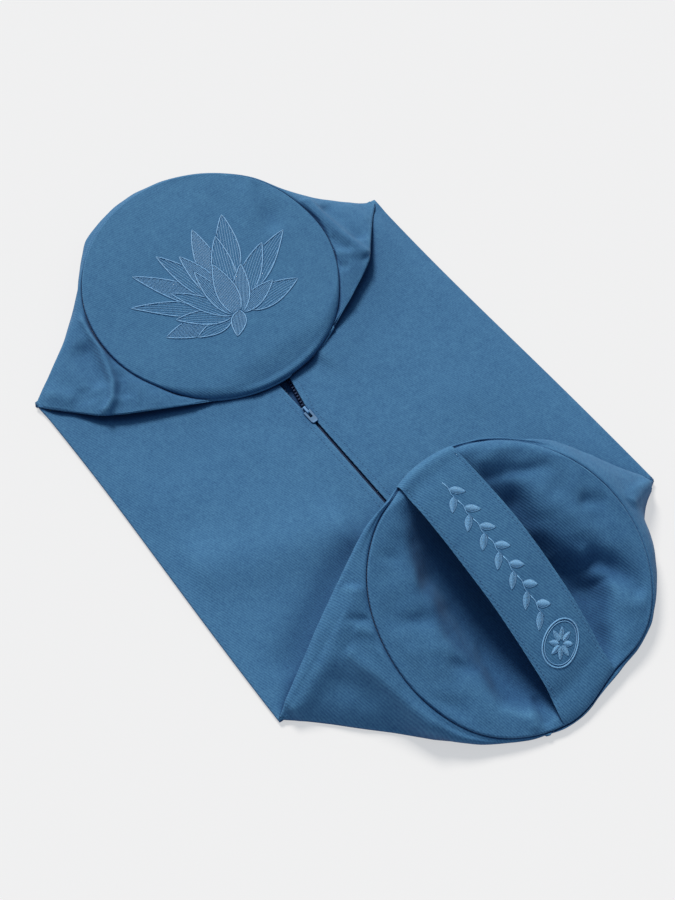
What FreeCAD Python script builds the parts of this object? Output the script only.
import FreeCAD, Part
import math
import os
from FreeCAD import Vector

# Bolster cover, empty and laid flat, with both round ends folded up over the barrel.
# Millimetres: +X along the barrel towards the handle end, +Y across, +Z up.
# The origin is the centre of the barrel's underside, on the plane the cover rests on.

# ---------------------------------------------------------------- driving dimensions
END_R = 108.0               # seam radius of each round end
BARREL_W = 353.0            # flat width of the barrel, half its circumference
HALF_W = BARREL_W / 2
CLOTH = 1.2                 # cloth thickness
FOLD_R = 1.7                # outer radius of the barrel's side folds
LOTUS_CORNER_X = -175.0     # corner line of the lotus end
HAND_CORNER_X = (162.0, 181.0)  # corner line of the handle end at -Y and at +Y, slightly askew
LOTUS_FOLD_X = -290.0       # fold line each end turns about
HAND_FOLD_X = 291.0
FOLD_INSET = 1.6            # the underside's cloth stops this far short of the fold line
PANEL_INSET = 0.8           # the round panels stop this far inside the seam radius

SLIT_Y = -6.5               # centre line of the slit and zipper
SLIT_Z = 7.5                # top of the cloth beside the zipper
SLIT_HALF = 1.2             # half the slit where the zipper is closed
SLIDER_X = -33.0
SLIDER_X0, SLIDER_X1 = SLIDER_X - 5.0, SLIDER_X + 4.8
PARTED_X, MESHED_X = SLIDER_X - 2.4, SLIDER_X + 1.0  # teeth apart up to one, meshed past the other
GAPE_X = (-160.0, -120.0, -68.0)  # far end of the open slit and the ends of its widest stretch

# Top of the barrel beside the slit: (distance from its centre line, z)
BARREL_SLOPE = [(15.0, SLIT_Z), (32.0, 5.6), (62.0, 2 * FOLD_R)]

os.makedirs("parts", exist_ok=True)


# ---------------------------------------------------------------- helpers
def save(name, shape):
    solids = shape.Solids
    assert solids and all(s.isValid() and s.isClosed() and s.Volume > 0 for s in solids), name
    out = solids[0] if len(solids) == 1 else Part.makeCompound(solids)
    out.exportStep("parts/%s.step" % name)


def interpolate(rows, at):
    """The later columns of rows where the first column is at, by straight lines."""
    for low, high in zip(rows, rows[1:]):
        if at <= high[0]:
            share = (at - low[0]) / (high[0] - low[0])
            return tuple(a + (b - a) * share for a, b in zip(low[1:], high[1:]))
    return tuple(rows[-1][1:])


def turn(a, b):
    """Difference of two angles in degrees, -180 to 180."""
    return (a - b + 180.0) % 360.0 - 180.0


def stations(start, stop, step):
    """Evenly stepped places from start, all short of stop."""
    return [start + i * step for i in range(math.ceil((stop - start) / step))]


def face(points):
    return Part.Face(Part.makePolygon(points + [points[0]]))


def plate(outline, z0, z1):
    """A flat plate from a closed outline of (x, y)."""
    return face([Vector(x, y, z0) for x, y in outline]).extrude(Vector(0, 0, z1 - z0))


def box(x0, x1, y0, y1, z0, z1):
    return Part.makeBox(x1 - x0, y1 - y0, z1 - z0, Vector(x0, y0, z0))


def stitch(x, y, z):
    return box(x, x + 2.7, y - 0.3, y + 0.3, z, z + 0.35)


def fuse_all(shapes):
    """Fuses one shape after another."""
    out = shapes[0]
    for shape in shapes[1:]:
        out = out.fuse(shape)
    return out


def quad(a, b, c, d):
    """Two triangles that share the diagonal a to c."""
    return [(a, b, c), (a, c, d)]


def mesh_solid(vertices, triangles):
    """A closed solid from a triangle mesh."""
    shape = Part.Shape()
    shape.makeShapeFromMesh(([Vector(*v) for v in vertices], triangles), 1e-5)
    solid = Part.Solid(Part.Shell(shape.Faces))
    if solid.Volume < 0:
        solid.reverse()
    return solid


def ring_solid(sections):
    """A closed ring from sections that each hold the same number of points."""
    count, size = len(sections), len(sections[0])
    triangles = []
    for i in range(count):
        this, after = i * size, (i + 1) % count * size
        for a in range(size):
            b = (a + 1) % size
            triangles += quad(this + a, after + a, after + b, this + b)
    return mesh_solid([point for section in sections for point in section], triangles)


def strip_solid(sections):
    """A strip from sections along it, each a pair (top points, bottom points) of equal count."""
    size, last = len(sections[0][0]), len(sections) - 1
    vertices = [point for top, bottom in sections for point in top + bottom]

    def top(i, a):
        return i * 2 * size + a

    def low(i, a):
        return top(i, a) + size

    triangles = []
    edge = size - 1
    for i in range(last):
        j = i + 1
        for a in range(edge):
            b = a + 1
            triangles += quad(top(i, a), top(j, a), top(j, b), top(i, b))
            triangles += quad(low(i, a), low(i, b), low(j, b), low(j, a))
        triangles += quad(top(i, 0), low(i, 0), low(j, 0), top(j, 0))
        triangles += quad(top(i, edge), top(j, edge), low(j, edge), low(i, edge))
    for a in range(edge):
        b = a + 1
        triangles += quad(top(0, a), top(0, b), low(0, b), low(0, a))
        triangles += quad(top(last, a), low(last, a), low(last, b), top(last, b))
    return mesh_solid(vertices, triangles)


# ---------------------------------------------------------------- frames of the round ends
class RoundEnd:
    """The frame of a tilted round end: p near X, q near Y, n out of its face.

    side is -1 at the -X end and 1 at the +X end; crown is how far the panel's middle stands
    off its seam plane; rim gives the seam radius at an angle; corners are the angles of the
    two pointed corners; corner_x is where the corner line lies at -Y and at +Y.
    """

    def __init__(self, side, centre, tilt, roll, crown, rim, corners, corner_x):
        self.side, self.crown, self.rim = side, crown, rim
        self.corners, self.corner_line = corners, corner_x
        self.centre = Vector(*centre)
        tilt, roll = math.radians(tilt), math.radians(roll)
        self.p = Vector(math.cos(tilt), 0, -math.sin(tilt))
        self.n = self.p.cross(Vector(0, math.cos(roll), math.sin(roll)))
        self.n.normalize()
        self.q = self.n.cross(self.p)

    def polar(self, radius, deg, height=0.0):
        a = math.radians(deg)
        along, across = self.p * (radius * math.cos(a)), self.q * (radius * math.sin(a))
        v = self.centre + along + across + self.n * height
        return (v.x, v.y, v.z)

    def corner_x(self, y):
        low, high = self.corner_line
        return low + (high - low) * (y + HALF_W) / BARREL_W

    def place(self, shape):
        p, q, n, c = self.p, self.q, self.n, self.centre
        out = shape.copy()
        out.transformShape(FreeCAD.Matrix(
            p.x, q.x, n.x, c.x,
            p.y, q.y, n.y, c.y,
            p.z, q.z, n.z, c.z,
            0, 0, 0, 1,
        ))
        return out


# Where the handle end's seam leaves its circle: (angle, spread in degrees, change of radius)
HAND_RIM_BUMPS = [(13, 19, -11.0), (-46, 18, 2.6), (-98, 22, -2.0)]


def lotus_rim(deg):
    return END_R


def hand_rim(deg):
    """The strap draws the low side of the seam in."""
    return END_R + sum(
        change * math.exp(-(turn(deg, at) / spread) ** 2) for at, spread, change in HAND_RIM_BUMPS
    )


lotus = RoundEnd(
    side=-1, centre=(-176.0, 0.7, 27.0), tilt=5.5, roll=2.0, crown=2.0, rim=lotus_rim,
    corners=(-110.0, 112.0), corner_x=(LOTUS_CORNER_X, LOTUS_CORNER_X),
)
hand = RoundEnd(
    side=1, centre=(192.0, 14.0, 38.5), tilt=18.0, roll=2.0, crown=-14.0, rim=hand_rim,
    corners=(-128.0, 93.0), corner_x=HAND_CORNER_X,
)


# ---------------------------------------------------------------- edges of the folded ends
def floor_row(deg):
    """An edge row on the floor, on a circle round the lotus end."""
    a, radius = math.radians(deg), 112.5
    x, y = lotus.centre.x + radius * math.cos(a), lotus.centre.y + radius * math.sin(a)
    return (deg, x, y, 1.7)


def rim_row(deg):
    """An edge row just outside and below the handle end's seam."""
    return (deg,) + hand.polar(hand_rim(deg) + 3.0, deg, -7.0)


# Rows of (angle round the panel, x, y, z), by rising angle. The edge lies on the floor
# outside the corners and stands free above the barrel between them.
LOTUS_EDGE = [floor_row(deg) for deg in (-180, -170, -160, -150)] + [
    (-142, -263, -72, 1.7), (-134, -243, -88, 1.7), (-128, -225, -104, 1.7),
    (-122, -210.5, -127, 1.7), (-117, -196.5, -144, 1.7), (-113, -181.5, -165, 2.0),
    (-110, -172.5, -176.4, 5.0), (-107.5, -159, -170, 7.0), (-103, -141, -157.5, 9.5),
    (-97, -125.5, -141.5, 12), (-88, -116.5, -125, 13), (-74, -105, -102, 13),
    (-58, -92, -76, 12.5), (-43, -80, -50, 11.5), (-27, -71.5, -29, 11.0),
    (-10, -66.5, -9, 10.8), (5, -66.5, 13, 10.8), (20, -70.5, 35, 11), (33, -78, 56, 11.5),
    (50, -90, 86, 12.5), (70, -104, 109, 12.5), (90, -116, 124, 12.5), (98, -121, 129, 12),
    (106, -147, 153, 9.0), (112, -170, 175.5, 5.0), (115, -180.5, 163, 2.2),
    (120, -194, 149, 1.9), (126, -208, 133, 1.7), (133, -229, 110, 1.7), (142, -262, 76, 1.7),
] + [floor_row(deg) for deg in (150, 160, 170)]
HAND_EDGE = [rim_row(deg) for deg in (-180, -174, -168, -163)] + [
    (-158, 94.5, -29, 67), (-153, 98, -45.5, 63), (-148.5, 104.5, -63, 57),
    (-143, 117, -90, 47), (-139, 127, -111, 37), (-135, 138.5, -134, 25.5),
    (-131.5, 150, -157, 14), (-128, 160.5, -176.4, 5.0), (-118, 173, -161, 1.9),
    (-108, 187.6, -146, 1.7), (-98, 201.5, -132.5, 1.7), (-88, 215.2, -119.3, 1.7),
    (-77, 229, -106, 1.7), (-66, 242.6, -93, 1.7), (-55, 257.5, -77, 1.7),
    (-45, 268, -63.5, 1.7), (-35, 276.5, -50, 1.7), (-20, 285, -27, 1.7), (-8, 289.0, -8, 1.7),
    (8, 289, 12, 1.7), (18, 285.5, 32, 1.7), (28, 279.5, 56, 1.7), (40, 270, 86, 1.7),
    (50, 260.5, 101, 1.7), (60, 247.5, 115.5, 1.7), (70, 232, 128, 1.7), (78, 215, 138, 1.7),
    (84, 204, 145, 1.7), (88, 194, 157, 1.8), (93, 183.5, 175.5, 5.0), (100, 176, 168.5, 9),
    (108, 166, 155.5, 16), (116, 152.5, 142, 26), (123, 138.5, 130.5, 36), (130, 121, 113, 48),
] + [rim_row(deg) for deg in (138, 146, 155, 165, 173)]


def edge_at(edge, deg):
    start = edge[0][0]
    closed = edge + [(start + 360.0,) + edge[0][1:]]
    return interpolate(closed, (deg - start) % 360.0 + start)


def barrel_top(y):
    """Height of the cloth on top of the flat barrel."""
    return interpolate([(0.0, SLIT_Z)] + BARREL_SLOPE, abs(y - SLIT_Y))[0]


# ---------------------------------------------------------------- folded ends
def gusset(end, edge):
    """The turned-up cloth between a round end and the barrel: the skirt outside, the two
    pointed pockets, and the layer that folds back under the end to the corner line."""
    first, second = end.corners
    side = end.side

    def inward(point, share, rise):
        """A point moved part of the way to the end's centre in plan, and raised."""
        x, y, z = point
        return (x + (end.centre.x - x) * share, y + (end.centre.y - y) * share, z + rise)

    angles = [-180.0 + 3.0 * i for i in range(120)]
    for corner in end.corners:
        nearest = min(range(120), key=lambda i: abs(turn(angles[i], corner)))
        angles[nearest] = corner
    sections = []
    for deg in angles:
        rim = end.polar(end.rim(deg), deg)
        x, y, z = edge_at(edge, deg)
        between = first < deg < second
        outside = deg < first or deg > second
        if between if side < 0 else outside:
            # over the barrel, with the layer folded back under the end
            z = max(z, barrel_top(y) + 2.6)
            back_y = y * 0.985
            back_x = x + side * max(3.0, side * (end.corner_x(back_y) - side * 2.0 - x))
            back_z = barrel_top(back_y) + 1.0
            middle = [
                (back_x, back_y, back_z),
                (back_x + side * 0.2, back_y, back_z + 1.0),
                inward((x, y, z), 0.016, 0.1),
            ]
        else:
            shifts = ((0.0096, -0.1), (0.032, -0.1), (0.0192, 0.3))
            middle = [inward((x, y, z), share, rise) for share, rise in shifts]
        in_x, in_y, in_z = inward(rim, 0.015, -2.6)
        sections.append(
            [(rim[0], rim[1], rim[2] - 1.5), (x, y, z)] + middle + [(in_x, in_y, max(2.4, in_z))]
        )
    return ring_solid(sections)


def bulge(crown, share):
    """Height of a panel off its seam plane at a share of its radius."""
    return crown * (1 - share ** 2) ** 1.3


def round_panel(end):
    """A round cloth panel, as a lower and an upper sheet joined at the rim."""
    rings, steps = 14, 96
    vertices = []
    for thickness in (0.0, CLOTH):
        vertices.append(end.polar(0, 0, end.crown + thickness))
        for ring in range(1, rings + 1):
            height = bulge(end.crown, ring / rings) + thickness
            for step in range(steps):
                deg = 360.0 * step / steps
                radius = (end.rim(deg) - PANEL_INSET) * ring / rings
                vertices.append(end.polar(radius, deg, height))

    def index(sheet, ring, step):
        centre = sheet * (1 + rings * steps)
        return centre + 1 + (ring - 1) * steps + step % steps if ring else centre

    triangles = []
    for j in range(steps):
        for sheet in (1, 0):
            sector = [(index(sheet, 0, 0), index(sheet, 1, j), index(sheet, 1, j + 1))]
            for i in range(1, rings):
                sector += quad(index(sheet, i, j), index(sheet, i + 1, j),
                               index(sheet, i + 1, j + 1), index(sheet, i, j + 1))
            triangles += sector if sheet else [t[::-1] for t in sector]
        triangles += quad(index(1, rings, j), index(0, rings, j),
                          index(0, rings, j + 1), index(1, rings, j + 1))
    return mesh_solid(vertices, triangles)


def seam_ring(end):
    """The seam allowance turned inward under a round end."""
    # (distance inside the seam, height)
    profile = ((3.2, -0.15), (3.2, -1.35), (11.0, -1.55), (11.0, -0.35))
    sag = min(0.0, end.crown)
    sections = []
    for i in range(96):
        deg = 360.0 * i / 96
        rim = end.rim(deg)
        sections.append([
            end.polar(rim - back, deg, z + bulge(sag, (rim - back) / (rim - PANEL_INSET)))
            for back, z in profile
        ])
    return ring_solid(sections)


for end_name, end, edge in (("lotus", lotus, LOTUS_EDGE), ("handle", hand, HAND_EDGE)):
    save(end_name + "_end_gusset", gusset(end, edge))
    save(end_name + "_end_panel", round_panel(end))
    save(end_name + "_end_seam_allowance", seam_ring(end))


# ---------------------------------------------------------------- barrel cloth
def fold_arc(radius):
    """Points round the +Y side fold, without its ends."""
    angles = [math.pi / 2 - math.pi * i / 8 for i in range(1, 8)]
    centre_y = HALF_W - FOLD_R
    return [(centre_y + radius * math.cos(a), FOLD_R + radius * math.sin(a)) for a in angles]


def sleeve():
    """One cloth wrapped round into a flat sleeve, open along the zipper on top."""
    fold_y = HALF_W - FOLD_R
    top = [(SLIT_HALF, SLIT_Z)] + BARREL_SLOPE + [(fold_y, 2 * FOLD_R)]
    outer = top + fold_arc(FOLD_R) + [(fold_y, 0.0)]
    inner = [(y, z - CLOTH) for y, z in top] + fold_arc(FOLD_R - CLOTH) + [(fold_y, CLOTH)]
    loop = outer + [(-y, z) for y, z in outer[::-1]] + [(-y, z) for y, z in inner] + inner[::-1]
    # the raised middle follows the slit off centre
    slope_end = BARREL_SLOPE[-1][0]
    loop = [(y + (SLIT_Y if abs(y) <= slope_end else 0.0), z) for y, z in loop]
    far_x = 190.0
    body = face([Vector(0, y, z) for y, z in loop]).extrude(Vector(far_x - LOTUS_CORNER_X, 0, 0))
    body.translate(Vector(LOTUS_CORNER_X, 0, 0))
    y = HALF_W + 1
    beyond = [(HAND_CORNER_X[0], -y), (far_x + 40, -y), (far_x + 40, y), (hand.corner_x(y), y)]
    return body.cut(plate(beyond, -1, 20))


def underside_flap(edge, start, sweep, limits):
    """The underside's cloth beyond the corner line, under a round end."""
    outline = [edge_at(edge, start + sweep * i / 80)[:2] for i in range(81)]
    return plate(outline, 0.0, CLOTH).common(plate(limits, -1, 5))


def barrel_cloth():
    lotus_x0, lotus_x1 = LOTUS_FOLD_X + FOLD_INSET, LOTUS_CORNER_X + 0.5
    first, second = lotus.corners
    lotus_flap = underside_flap(
        LOTUS_EDGE, second, 360.0 - second + first,
        [(lotus_x0, -200), (lotus_x1, -200), (lotus_x1, 200), (lotus_x0, 200)],
    )
    hand_x = HAND_FOLD_X - FOLD_INSET
    first, second = hand.corners
    hand_flap = underside_flap(
        HAND_EDGE, first, second - first,
        [(HAND_CORNER_X[0] - 0.5, -HALF_W), (hand_x, -HALF_W - 20),
         (hand_x, HALF_W + 20), (HAND_CORNER_X[1] - 0.5, HALF_W)],
    )
    # the slit stands open between the slider and the lotus end, wider on the +Y side
    gape = plate([
        (MESHED_X, 0), (MESHED_X, SLIT_HALF + 0.05), (SLIDER_X0, 2.7),
        (GAPE_X[2], 9.0), (GAPE_X[1], 10.0), (GAPE_X[0], 2.7), (GAPE_X[0], 0),
    ], 4.5, 12)
    gape.translate(Vector(0, SLIT_Y, 0))
    return sleeve().fuse(lotus_flap).fuse(hand_flap).cut(gape).removeSplitter()


save("barrel_cloth", barrel_cloth())

# ---------------------------------------------------------------- zipper
# The zipper is drawn on its own centre line and moved to the slit when saved.
ZIP_X0, ZIP_X1 = -158.0, 158.0
TOOTH_PITCH = 3.0
TEETH_Z0, TEETH_Z1 = 2.6, 5.0
TEETH_MID_Z = (TEETH_Z0 + TEETH_Z1) / 2
TAPE_Z = SLIT_Z - CLOTH - 0.45
TAPE_HALF_T = 0.28
ZIP_BREAKS = [ZIP_X0, -140.0, GAPE_X[1], -94.0, GAPE_X[2], -50.0,
              SLIDER_X0, PARTED_X, MESHED_X, 60.0, ZIP_X1]
# Across a tape: (distance from the centre line, share of the parting it follows, z)
TAPE_PROFILE = [(2.95, 1.0, TEETH_MID_Z), (6.2, 0.9, TEETH_MID_Z),
                (9.6, 0.6, TAPE_Z), (15.6, 0.1, TAPE_Z - 0.2)]
# How far a row of teeth has parted, by its side of the zipper: (x, distance)
MESHING = [(PARTED_X, 1.5), (MESHED_X, 0.0)]
PARTING = {
    -1: [(GAPE_X[0], 1.5)] + MESHING,
    1: [(GAPE_X[0], 1.5), (GAPE_X[1], 8.5), (GAPE_X[2], 7.5), (SLIDER_X0, 1.5)] + MESHING,
}


def save_zipper(name, shape):
    moved = shape.copy()
    moved.translate(Vector(0, SLIT_Y, 0))
    save("zipper_" + name, moved)


def parted(x, side):
    return interpolate(PARTING[side], x)[0]


def tape(side):
    sections = []
    for x in ZIP_BREAKS:
        points = [(side * (y + share * parted(x, side)), z) for y, share, z in TAPE_PROFILE]
        sections.append(([(x, y, z + TAPE_HALF_T) for y, z in points],
                         [(x, y, z - TAPE_HALF_T) for y, z in points]))
    return strip_solid(sections)


def teeth(side):
    """A spine with one tooth per pitch; each side's teeth stand in the other's gaps."""
    back, neck, head = 2.9, 1.25, 0.85
    tooth = ((0.0, neck), (0.95, neck), (0.75, -head), (2.05, -head), (1.85, neck))
    first = ZIP_X0 + 6.0 + (TOOTH_PITCH / 2 if side > 0 else 0.0)
    starts = stations(first, ZIP_X1 - 6.0 - TOOTH_PITCH, TOOTH_PITCH)
    last = starts[-1] + TOOTH_PITCH
    points = []
    for x in starts:
        shift = parted(x + TOOTH_PITCH / 2, side)
        points += [(x + dx, side * (y + shift)) for dx, y in tooth]
    spine_x = [first] + [x for x in ZIP_BREAKS if first < x < last] + [last]
    spine = [(x, side * (back + parted(x, side))) for x in spine_x]
    return plate(points + [(last, side * neck)] + spine[::-1], TEETH_Z0, TEETH_Z1)


def top_stops():
    """One block on each tape at the -X end."""
    return Part.makeCompound([
        box(ZIP_X0 + 1.0, ZIP_X0 + 5.2, y0, y1, 2.4, 5.3) for y0, y1 in ((-4.35, -1.9), (1.9, 4.35))
    ])


def bottom_stop():
    """One rounded block across both rows at the +X end."""
    block = box(ZIP_X1 - 5.0, ZIP_X1 - 0.5, -2.8, 2.8, 2.3, 5.4)
    return block.makeFillet(0.5, block.Edges)


def shell_outline(inset):
    """The slider's outline, drawn in on both sides by inset."""
    half = [(SLIDER_X0, 5.0), (SLIDER_X0 + 1.0, 5.3), (SLIDER_X - 1.4, 5.3),
            (SLIDER_X1 - 1.2, 3.9), (SLIDER_X1, 3.3)]
    return [(x, inset - y) for x, y in half] + [(x, y - inset) for x, y in half[::-1]]


def slider_wall(z0, z1):
    """The pair of side flanges between two heights, open at both ends and in the middle."""
    wall = plate(shell_outline(0), z0, z1).cut(plate(shell_outline(0.6), 0, 9))
    wall = wall.cut(box(SLIDER_X0 - 1, SLIDER_X0 + 0.4, -4.3, 4.3, 0, 9))
    wall = wall.cut(box(SLIDER_X1 - 0.4, SLIDER_X1 + 1, -2.6, 2.6, 0, 9))
    return wall.cut(box(SLIDER_X0 - 1, SLIDER_X1 + 1, -3.05, 3.05, 0, 9))


def slider():
    """Two shells joined by a post at the -X end, side flanges that hold the teeth with a slot
    for the tape, and a bridge that stands up through the slit for the pull."""
    low = plate(shell_outline(0), 1.45, 2.35)
    high = plate(shell_outline(0), 5.2, 6.1)
    walls = [slider_wall(2.3, 3.1), slider_wall(4.5, 5.25)]
    x = SLIDER_X0
    post = plate([(x, -0.5), (x + 1.6, -0.6), (x + 2.6, 0.0), (x + 1.6, 0.6), (x, 0.5)], 2.2, 5.4)
    bridge_z, bridge_h = 6.0, 4.3
    bridge = Part.makeBox(7.4, 1.8, bridge_h, Vector(SLIDER_X - 3.7, -0.9, bridge_z))
    # round the two top edges that run across
    bridge = bridge.makeFillet(1.3, [
        e for e in bridge.Edges
        if abs(e.CenterOfMass.z - (bridge_z + bridge_h)) < 0.01
        and abs(e.tangentAt(e.FirstParameter).y) > 0.9
    ])
    bridge = bridge.cut(Part.makeBox(4.8, 3, 1.9, Vector(SLIDER_X - 2.4, -1.5, 7.3)))
    return low.fuse([high, post, bridge] + walls).removeSplitter()


def pull_tab():
    """The bar at its root runs through the slider's bridge; it lies over the closed zipper."""
    x, z = SLIDER_X + 1.4, 8.25
    tab = plate([(x, -3.2), (x + 10.2, -2.9), (x + 11.6, -1.9),
                 (x + 11.6, 1.9), (x + 10.2, 2.9), (x, 3.2)], z - 0.5, z + 0.5)
    tab = tab.cut(plate([(x - 1, -1.25), (x + 6.4, -1.25), (x + 6.4, 1.25), (x - 1, 1.25)], 0, 20))
    bar = Part.makeCylinder(0.5, 6.4, Vector(x, -3.2, z), Vector(0, 1, 0))
    return tab.fuse(bar).removeSplitter()


def lockstitch():
    """Two rows of stitches that hold the zipper tapes to the cloth."""
    return Part.makeCompound([
        stitch(x, y, SLIT_Z + 0.03) for x in stations(-60.0, 150.0, 4.0) for y in (-9.0, 9.0)
    ])


# "left" is the -Y side and "right" the +Y side
for side_name, side in (("left", -1), ("right", 1)):
    save_zipper("tape_" + side_name, tape(side))
    save_zipper("teeth_" + side_name, teeth(side))
save_zipper("top_stops", top_stops())
save_zipper("bottom_stop", bottom_stop())
save_zipper("slider", slider())
save_zipper("pull_tab", pull_tab())
save_zipper("lockstitch", lockstitch())

# ---------------------------------------------------------------- lotus embroidery
FLOWER_ANGLE = 138.0        # the flower's axis in the round end's frame, from +p
FLOWER_ROOT = (36.0, -22.0)
# The middle petal and three pairs either side: (length, width, lean from the axis)
PETALS = [(92, 27, 0), (86, 26, 25), (86, 26, -25), (78, 24, 51), (78, 24, -51),
          (66, 21, 78), (66, 21, -78)]


def petal(length, width, angle, root, inset=0.0):
    """A pointed petal outline from root (p, q), turned by angle degrees."""
    a = math.radians(angle)
    steps = 14
    half = []
    for i in range(steps + 1):
        t = i / steps
        spread = (width / 2) * math.sin(math.pi * t ** 0.85) ** 0.9
        half.append((inset + t * length * ((length - 2 * inset) / length),
                     spread * (1 - 2 * inset / width)))
    outline = half + [(x, -y) for x, y in half[-2:0:-1]]
    return [(root[0] + x * math.cos(a) - y * math.sin(a),
             root[1] + x * math.sin(a) + y * math.cos(a)) for x, y in outline]


def flower_petal(length, width, lean, inset=0.0):
    return petal(length, width, FLOWER_ANGLE + lean, FLOWER_ROOT, inset)


fills = [plate(flower_petal(*row), 3.35, 3.7) for row in PETALS]
outlines = [
    plate(flower_petal(*row), 3.8, 4.15).cut(plate(flower_petal(*row, inset=1.1), 3.0, 5.0))
    for row in PETALS
]
save("lotus_embroidery_fill", lotus.place(fuse_all(fills).removeSplitter()))
save("lotus_embroidery_outline", lotus.place(fuse_all(outlines).removeSplitter()))

# ---------------------------------------------------------------- carry handle
# Drawn in the handle end's frame, with x along p, y along q and z along n.
STRAP_W = 50.0
STRAP_T = 2.4
STRAP_X0, STRAP_X1 = -101.0, 91.0   # ends of the free strap
STRAP_Z = 1.6                       # underside of the strap at its ends
STRAP_ARCH = 5.0


def strap_z(x):
    middle, reach = (STRAP_X0 + STRAP_X1) / 2, (STRAP_X1 - STRAP_X0) / 2
    return STRAP_Z + STRAP_ARCH * (1 - ((x - middle) / reach) ** 2)


def above_strap(x0, x1, gap):
    return max(strap_z(x0), strap_z(x1)) + STRAP_T + gap


def webbing(x0, x1, underside, steps):
    """A length of strap whose underside follows a height function."""
    xs = [x0 + (x1 - x0) * i / steps for i in range(steps + 1)]
    y = -STRAP_W / 2
    loop = [Vector(x, y, underside(x)) for x in xs]
    loop += [Vector(x, y, underside(x) + STRAP_T) for x in xs[::-1]]
    return face(loop).extrude(Vector(0, STRAP_W, 0))


def edge_stitching():
    return Part.makeCompound([
        stitch(x, y, above_strap(x, x + 2.7, 0.05))
        for y in (-22.5, 22.5) for x in stations(STRAP_X0 + 3, STRAP_X1 - 5, 4.0)
    ])


def strap_embroidery():
    """A row of leaves and one plain ring."""
    pieces = []
    for k in range(8):
        x = -76.0 + 15.0 * k
        z = above_strap(x, x + 11, 0.15)
        leaf = petal(11.5, 5.0, 28 if k % 2 == 0 else -28, (x, 0.0))
        pieces.append(plate(leaf, z, z + 0.4))
    x, radius = 57.0, 10.0
    z = above_strap(x - radius, x + radius, 0.15)
    disc = Part.makeCylinder(radius, 0.4, Vector(x, 0, z))
    pieces.append(disc.cut(Part.makeCylinder(8.8, 2, Vector(x, 0, z - 0.5))))
    return Part.makeCompound(pieces)


save("handle_strap", hand.place(webbing(STRAP_X0, STRAP_X1, strap_z, steps=20)))
for name, x0, x1 in (("inner", -END_R + 1.5, STRAP_X0 - 0.4),
                     ("outer", STRAP_X1 + 0.4, STRAP_X1 + 4.5)):
    save("handle_anchor_" + name, hand.place(webbing(x0, x1, lambda x: 1.35, steps=2)))
save("handle_edge_stitching", hand.place(edge_stitching()))
save("handle_embroidery", hand.place(strap_embroidery()))
